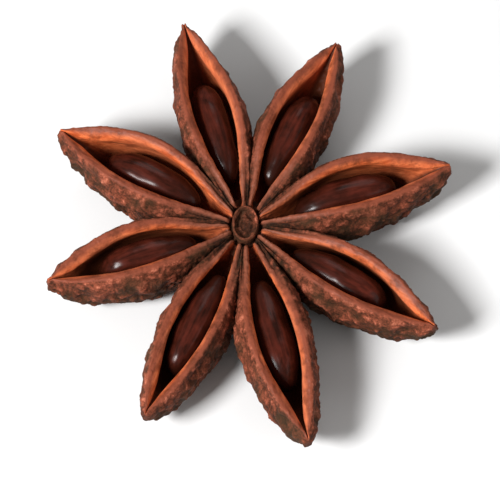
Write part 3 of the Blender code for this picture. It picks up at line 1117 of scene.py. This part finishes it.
def swollen(wave):
    """A sine or cosine made fuller: its size to a power below 1, with its sign kept."""
    return np.sign(wave) * np.abs(wave) ** SEED_FULLNESS


def dented(index, grid):
    """The grid pushed in along its normals by a random field and a finer one."""
    shift = LATTICE_STEP_PER_SEED * index
    dents = random_field(grid / SEED_DENT_LENGTH + shift, DENT_SEED)
    fine = random_field(FINE_DENT_SCALE * grid / SEED_DENT_LENGTH + shift, FINE_DENT_SEED)
    dents = (dents + FINE_DENT_SHARE * fine)[..., None] + SEED_DENTS_INWARD
    return grid - SEED_DENTS * dents * normals_of(grid)


def seed_mesh(index):
    """A flattened bean: rings whose size follows a sine, blunter at the beak end, and ridged."""
    follicle = FOLLICLES[index]
    angle = (math.pi * np.arange(1, SEED_RINGS + 1) / (SEED_RINGS + 1))[:, None]
    turn = np.linspace(0.0, 2.0 * math.pi, SEED_SIDES, endpoint=False)[None, :]
    t = follicle.seed_at - 0.5 * SEED_LENGTH_SHARE * np.cos(angle)
    swell = np.sin(angle) ** SEED_TAPER * (1.0 - SEED_BLUNTNESS * np.cos(angle))
    ridge = SEED_RIDGE * np.exp(-((np.cos(turn) / SEED_RIDGE_WIDTH) ** 2)) * np.sin(angle)
    along = t * follicle.length + 0.0 * turn
    across = SEED_SHARE_OF_BELLY * follicle.half_width * swell * swollen(np.cos(turn))
    height = SEED_HALF_DEPTH * swell * swollen(np.sin(turn)) + ridge * np.sin(turn)
    grid = dented(index, np.stack([along, across, SEED_HEIGHT + height], axis=-1))
    grid[..., 1] += bow_offset(follicle, t)
    lightened = ramp(angle / math.pi, *END_LIGHTENS) + 0.0 * turn
    numbers = {"flow": own_place(index, grid), "outward": lightened}
    side = grid[[0, -1], :, 1].mean(axis=1)
    poles = np.stack([along[[0, -1], 0], side, np.full(2, SEED_HEIGHT)], axis=-1)
    placed = [place_on_star(points, follicle.azimuth) for points in (grid, poles)]
    return closed_mesh(f"seed_coat_{index + 1}", *placed, numbers)


for number in range(len(FOLLICLES)):
    show(seed_mesh(number), lacquer, "seed", f"seed_{number + 1}")

# %% [markdown]
# ## The table and the light
# A plain pale table, wide enough to have no edge in view, and studio light: one soft key lamp
# from the front left, a weak one from the right and one from behind, and a pale surround. A
# picture of a real studio as surround would show in the lacquer, but plain lamps are enough for
# the small highlights on the seeds.

# %% Table
TABLE_MOTTLE = (40.0, 2.0)
TABLE_DARK = (0.76, 0.76, 0.76)
TABLE_LIGHT = (0.80, 0.80, 0.80)
TABLE_ROUGHNESS = 0.6
TABLE_HALF_SIZE = 1.5
TABLE_BELOW = 0.00002


def table_finish():
    """Matt white board with the faintest mottling."""
    finish = Finish("table")
    colour = finish.mix(finish.noise(*TABLE_MOTTLE), TABLE_DARK, TABLE_LIGHT)
    return finish.surface({"Base Color": colour, "Roughness": TABLE_ROUGHNESS})


def add_table(half):
    """A square sheet just under the pod, in metres."""
    mesh = bpy.data.meshes.new("table")
    corners = [(-half, -half, 0.0), (half, -half, 0.0), (half, half, 0.0), (-half, half, 0.0)]
    mesh.from_pydata(corners, [], [(0, 1, 2, 3)])
    mesh.materials.append(table_finish())
    table = bpy.data.objects.new("table", mesh)
    table.location.z = -TABLE_BELOW
    bpy.context.scene.collection.objects.link(table)


add_table(TABLE_HALF_SIZE)
print("table:", 2.0 * TABLE_HALF_SIZE, "m wide")

# %% Light
POD_MIDDLE = Vector((0.0, 0.0, 0.0035))
# Name, place and size in metres, and watts
LAMPS = (
    ("key", (-0.22, -0.16, 0.29), 0.11, 2.35),
    ("fill", (0.30, -0.10, 0.25), 0.25, 0.20),
    ("back", (0.05, 0.30, 0.30), 0.20, 0.20),
)
SURROUND_COLOUR = (1.0, 0.98, 0.96, 1.0)
SURROUND_STRENGTH = 0.25


def add_lamp(name, place, size, watts):
    """A square soft lamp at a place, facing the pod's middle."""
    data = bpy.data.lights.new(name, "AREA")
    data.size = size
    data.energy = watts
    lamp = bpy.data.objects.new(name, data)
    lamp.location = place
    lamp.rotation_euler = (POD_MIDDLE - Vector(place)).to_track_quat("-Z", "Y").to_euler()
    bpy.context.scene.collection.objects.link(lamp)


for row in LAMPS:
    add_lamp(*row)

world = bpy.data.worlds.new("surround")
world.use_nodes = True
background = world.node_tree.nodes["Background"]
background.inputs["Color"].default_value = SURROUND_COLOUR
background.inputs["Strength"].default_value = SURROUND_STRENGTH
bpy.context.scene.world = world
bpy.context.scene.view_settings.view_transform = "Standard"

# %% [markdown]
# ## The camera
# The camera stands in front of the pod and looks down steeply, as in the photograph. It could
# come closer to fill the picture with the pod, but that would change the perspective, so it keeps
# its distance, and the lens follows from that and the wanted width of the view.

# %% Camera
CAMERA_ELEVATION = 65.0
CAMERA_DISTANCE = 0.5
VIEW_WIDTH = 0.0430
SENSOR_WIDTH = 36.0
NEAREST_SEEN = 0.01


def add_camera():
    """A camera at an elevation over the front, aimed at the pod's middle."""
    data = bpy.data.cameras.new("camera")
    data.sensor_width = SENSOR_WIDTH
    data.lens = SENSOR_WIDTH * CAMERA_DISTANCE / VIEW_WIDTH
    data.clip_start = NEAREST_SEEN
    camera = bpy.data.objects.new("camera", data)
    rise = math.radians(CAMERA_ELEVATION)
    back = Vector((0.0, -math.cos(rise), math.sin(rise)))
    camera.location = POD_MIDDLE + CAMERA_DISTANCE * back
    camera.rotation_euler = (-back).to_track_quat("-Z", "Y").to_euler()
    bpy.context.scene.collection.objects.link(camera)
    bpy.context.scene.camera = camera
    return camera


print("lens:", round(add_camera().data.lens), "mm")

# %% [markdown]
# ## Size
# The dressed pod has to stay the size of the solid one.
